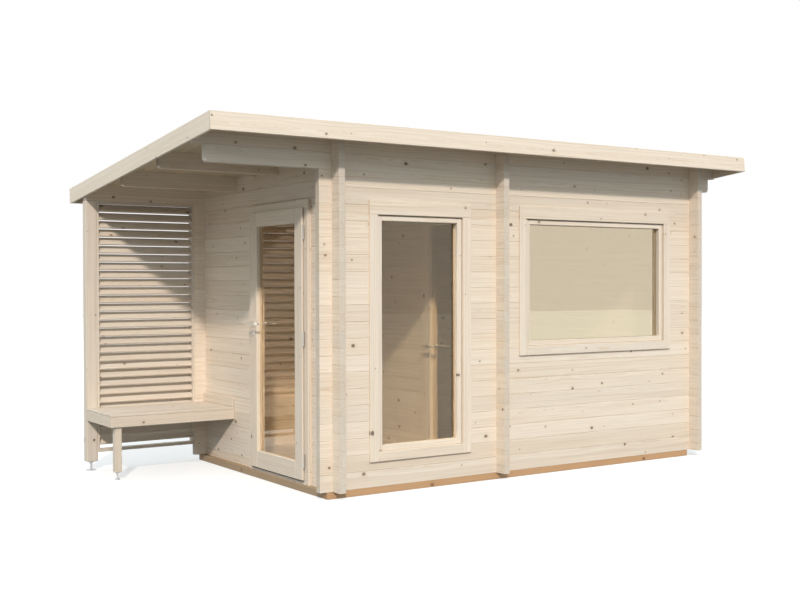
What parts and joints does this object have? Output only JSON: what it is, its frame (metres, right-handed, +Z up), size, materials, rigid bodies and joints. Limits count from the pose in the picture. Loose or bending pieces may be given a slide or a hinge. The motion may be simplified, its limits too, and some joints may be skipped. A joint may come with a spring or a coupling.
{
  "type": "log sauna cabin with porch",
  "caption": "Pent-roof log sauna cabin with a glazed hinged outer and inner door, fixed windows, and a covered side porch with a bench and a louvred screen.",
  "frame": {"origin": "centre of the bounding box in plan, at its lowest level, which is the underside of the bearers and feet", "axes": "+X to the right along the front wall (the porch is at -X), +Y from the front wall to the back wall, +Z up"},
  "size_m": [4.802, 2.7234, 2.4897],
  "materials": {
    "spruce": "planed, untreated, pale spruce",
    "bearer_wood": "sawn, impregnated, orange brown",
    "felt": "dark grey bitumen felt, matt",
    "glazing": "clear, tinted warm brown",
    "steel": "satin"
  },
  "bodies": {
    "cabin": {"bearers": "bearer_wood", "floor_boards": "spruce", "front_wall": "spruce", "front_purlin": "spruce", "back_wall": "spruce", "back_purlin": "spruce", "right_wall": "spruce", "left_wall_front": "spruce", "left_wall_head": "spruce", "left_wall_rear": "spruce", "partition_front": "spruce", "partition_head": "spruce", "partition_rear": "spruce", "middle_purlins": "spruce", "roof_boards": "spruce", "roof_felt": "felt", "fascia_front": "spruce", "fascia_back": "spruce", "barge_left": "spruce", "barge_right": "spruce", "door_frame": "spruce", "door_threshold": "steel", "inner_door_frame": "spruce", "frame_hinges": "steel", "tall_window_casing": "spruce", "tall_window_frame": "spruce", "tall_window_glass": "glazing", "wide_window_casing": "spruce", "wide_window_frame": "spruce", "wide_window_glass": "glazing", "porch_post": "spruce", "adjustable_feet": "steel", "louvre_screen": "spruce", "bench_seat": "spruce", "bench_frame": "spruce", "bench_batten": "spruce"},
    "door": {"door_leaf": "spruce", "door_glass": "glazing", "door_handles": "steel", "door_hinges": "steel"},
    "inner_door": {"inner_door_leaf": "spruce", "inner_door_glass": "glazing", "inner_door_handles": "steel", "inner_door_hinges": "steel"}
  },
  "joints": [
    {"name": "door_swing", "type": "hinge", "parent": "cabin", "child": "door", "pos_m": [-1.426, -0.72315, 1.033], "axis": [0, 0, 1], "range_deg": [0, 110]},
    {"name": "inner_door_swing", "type": "hinge", "parent": "cabin", "child": "inner_door", "pos_m": [-0.026, -0.83615, 1.033], "axis": [0, 0, 1], "range_deg": [0, 90]}
  ]
}
